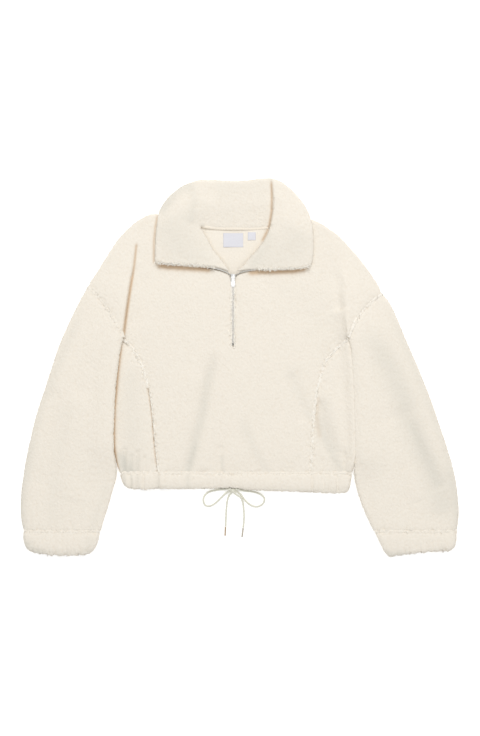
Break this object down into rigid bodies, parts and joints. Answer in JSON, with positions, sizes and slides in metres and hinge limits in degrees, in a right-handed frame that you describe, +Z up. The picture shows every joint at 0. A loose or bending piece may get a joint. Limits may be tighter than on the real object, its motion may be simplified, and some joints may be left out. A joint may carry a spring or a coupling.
{
  "type": "sherpa fleece pullover",
  "caption": "Cropped sherpa fleece pullover laid flat, with a turned-down collar, half zip, dropped shoulders, side panels, elastic cuffs and a drawcord hem tied in a bow.",
  "frame": {"origin": "on the surface the garment lies on, under the middle of its outline (the free ends of the drawcord are not counted)", "axes": "+X towards the wearer's left sleeve, +Y towards the neck, +Z up through the front, which faces up"},
  "size_m": [0.9418, 0.8144, 0.0266],
  "materials": {
    "fleece": "deep curly pile, matt",
    "zip_tape": "woven tape, matt",
    "zip_metal": "satin nickel",
    "label": "woven satin, blank",
    "cord": "braided cord, soft sheen",
    "cord_tip": "satin, aged"
  },
  "bodies": {
    "garment": {"front_panel": "fleece", "back_panel": "fleece", "side_panel_left": "fleece", "side_panel_right": "fleece", "sleeve_left": "fleece", "sleeve_right": "fleece", "cuff_left": "fleece", "cuff_right": "fleece", "hem_casing": "fleece", "collar": "fleece", "zip_tape_left": "zip_tape", "zip_tape_right": "zip_tape", "zip_slider": "zip_metal", "zip_bottom_stop": "zip_metal", "neck_label": "label", "size_label": "label", "drawcord_knot": "cord", "drawcord_loop_left": "cord", "drawcord_loop_right": "cord", "drawcord_end_left": "cord", "drawcord_end_right": "cord", "drawcord_tip_left": "cord_tip", "drawcord_tip_right": "cord_tip"},
    "pull_tab": {"pull_tab": "zip_metal"}
  },
  "joints": [
    {"name": "pull_tab_hinge", "type": "hinge", "parent": "garment", "child": "pull_tab", "pos_m": [-0.0145, 0.1956, 0.0142], "axis": [-1, 0, 0], "range_deg": [0, 150]}
  ]
}
